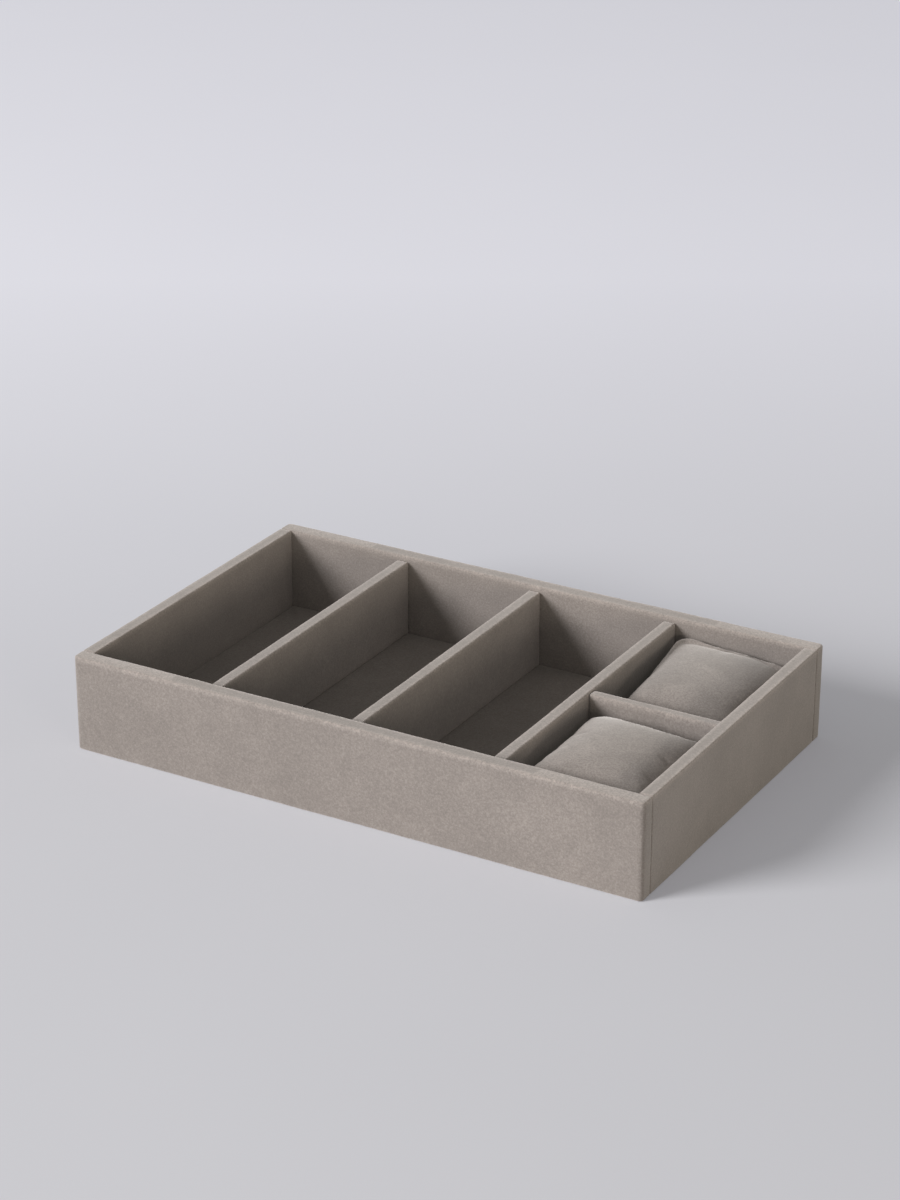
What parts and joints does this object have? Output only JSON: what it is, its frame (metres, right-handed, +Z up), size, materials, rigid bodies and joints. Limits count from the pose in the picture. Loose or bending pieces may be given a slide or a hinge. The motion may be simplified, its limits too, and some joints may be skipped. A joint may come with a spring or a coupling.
{
  "type": "jewelry display tray",
  "caption": "Open velvet-covered display tray with long compartments and watch bays, each watch bay holding a lift-out soft cushion.",
  "frame": {"origin": "centre of the tray's outline on the surface it rests on", "axes": "+X along the long side towards the watch bays, +Y towards the back wall, +Z up"},
  "size_m": [0.32, 0.201, 0.0515],
  "materials": {
    "velvet": "short-pile taupe velvet",
    "lining_velvet": "short-pile taupe velvet, laid flat",
    "cushion_velvet": "short-pile taupe velvet, sewn",
    "underside_felt": "plain pressed felt",
    "wall_board": "plain fibreboard",
    "card": "grey board",
    "filling": "white fibre filling"
  },
  "bodies": {
    "tray": {"front_wall_board": "wall_board", "back_wall_board": "wall_board", "left_wall_board": "wall_board", "right_wall_board": "wall_board", "front_wall_cover": "velvet", "back_wall_cover": "velvet", "left_wall_cover": "velvet", "right_wall_cover": "velvet", "underside_sheet": "underside_felt", "base_board": "wall_board", "lining_card": "card", "lining_velvet": "lining_velvet", "divider_1_board": "wall_board", "divider_1_cover": "velvet", "divider_2_board": "wall_board", "divider_2_cover": "velvet", "divider_3_board": "wall_board", "divider_3_cover": "velvet", "cross_divider_board": "wall_board", "cross_divider_cover": "velvet"},
    "front_cushion": {"front_cushion_top_panel": "cushion_velvet", "front_cushion_bottom_panel": "cushion_velvet", "front_cushion_filling": "filling"},
    "rear_cushion": {"rear_cushion_top_panel": "cushion_velvet", "rear_cushion_bottom_panel": "cushion_velvet", "rear_cushion_filling": "filling"}
  },
  "joints": [
    {"name": "front_cushion_lift", "type": "slide", "parent": "tray", "child": "front_cushion", "axis": [0, 0, 1], "range_m": [0, 0.07]},
    {"name": "rear_cushion_lift", "type": "slide", "parent": "tray", "child": "rear_cushion", "axis": [0, 0, 1], "range_m": [0, 0.07]}
  ]
}
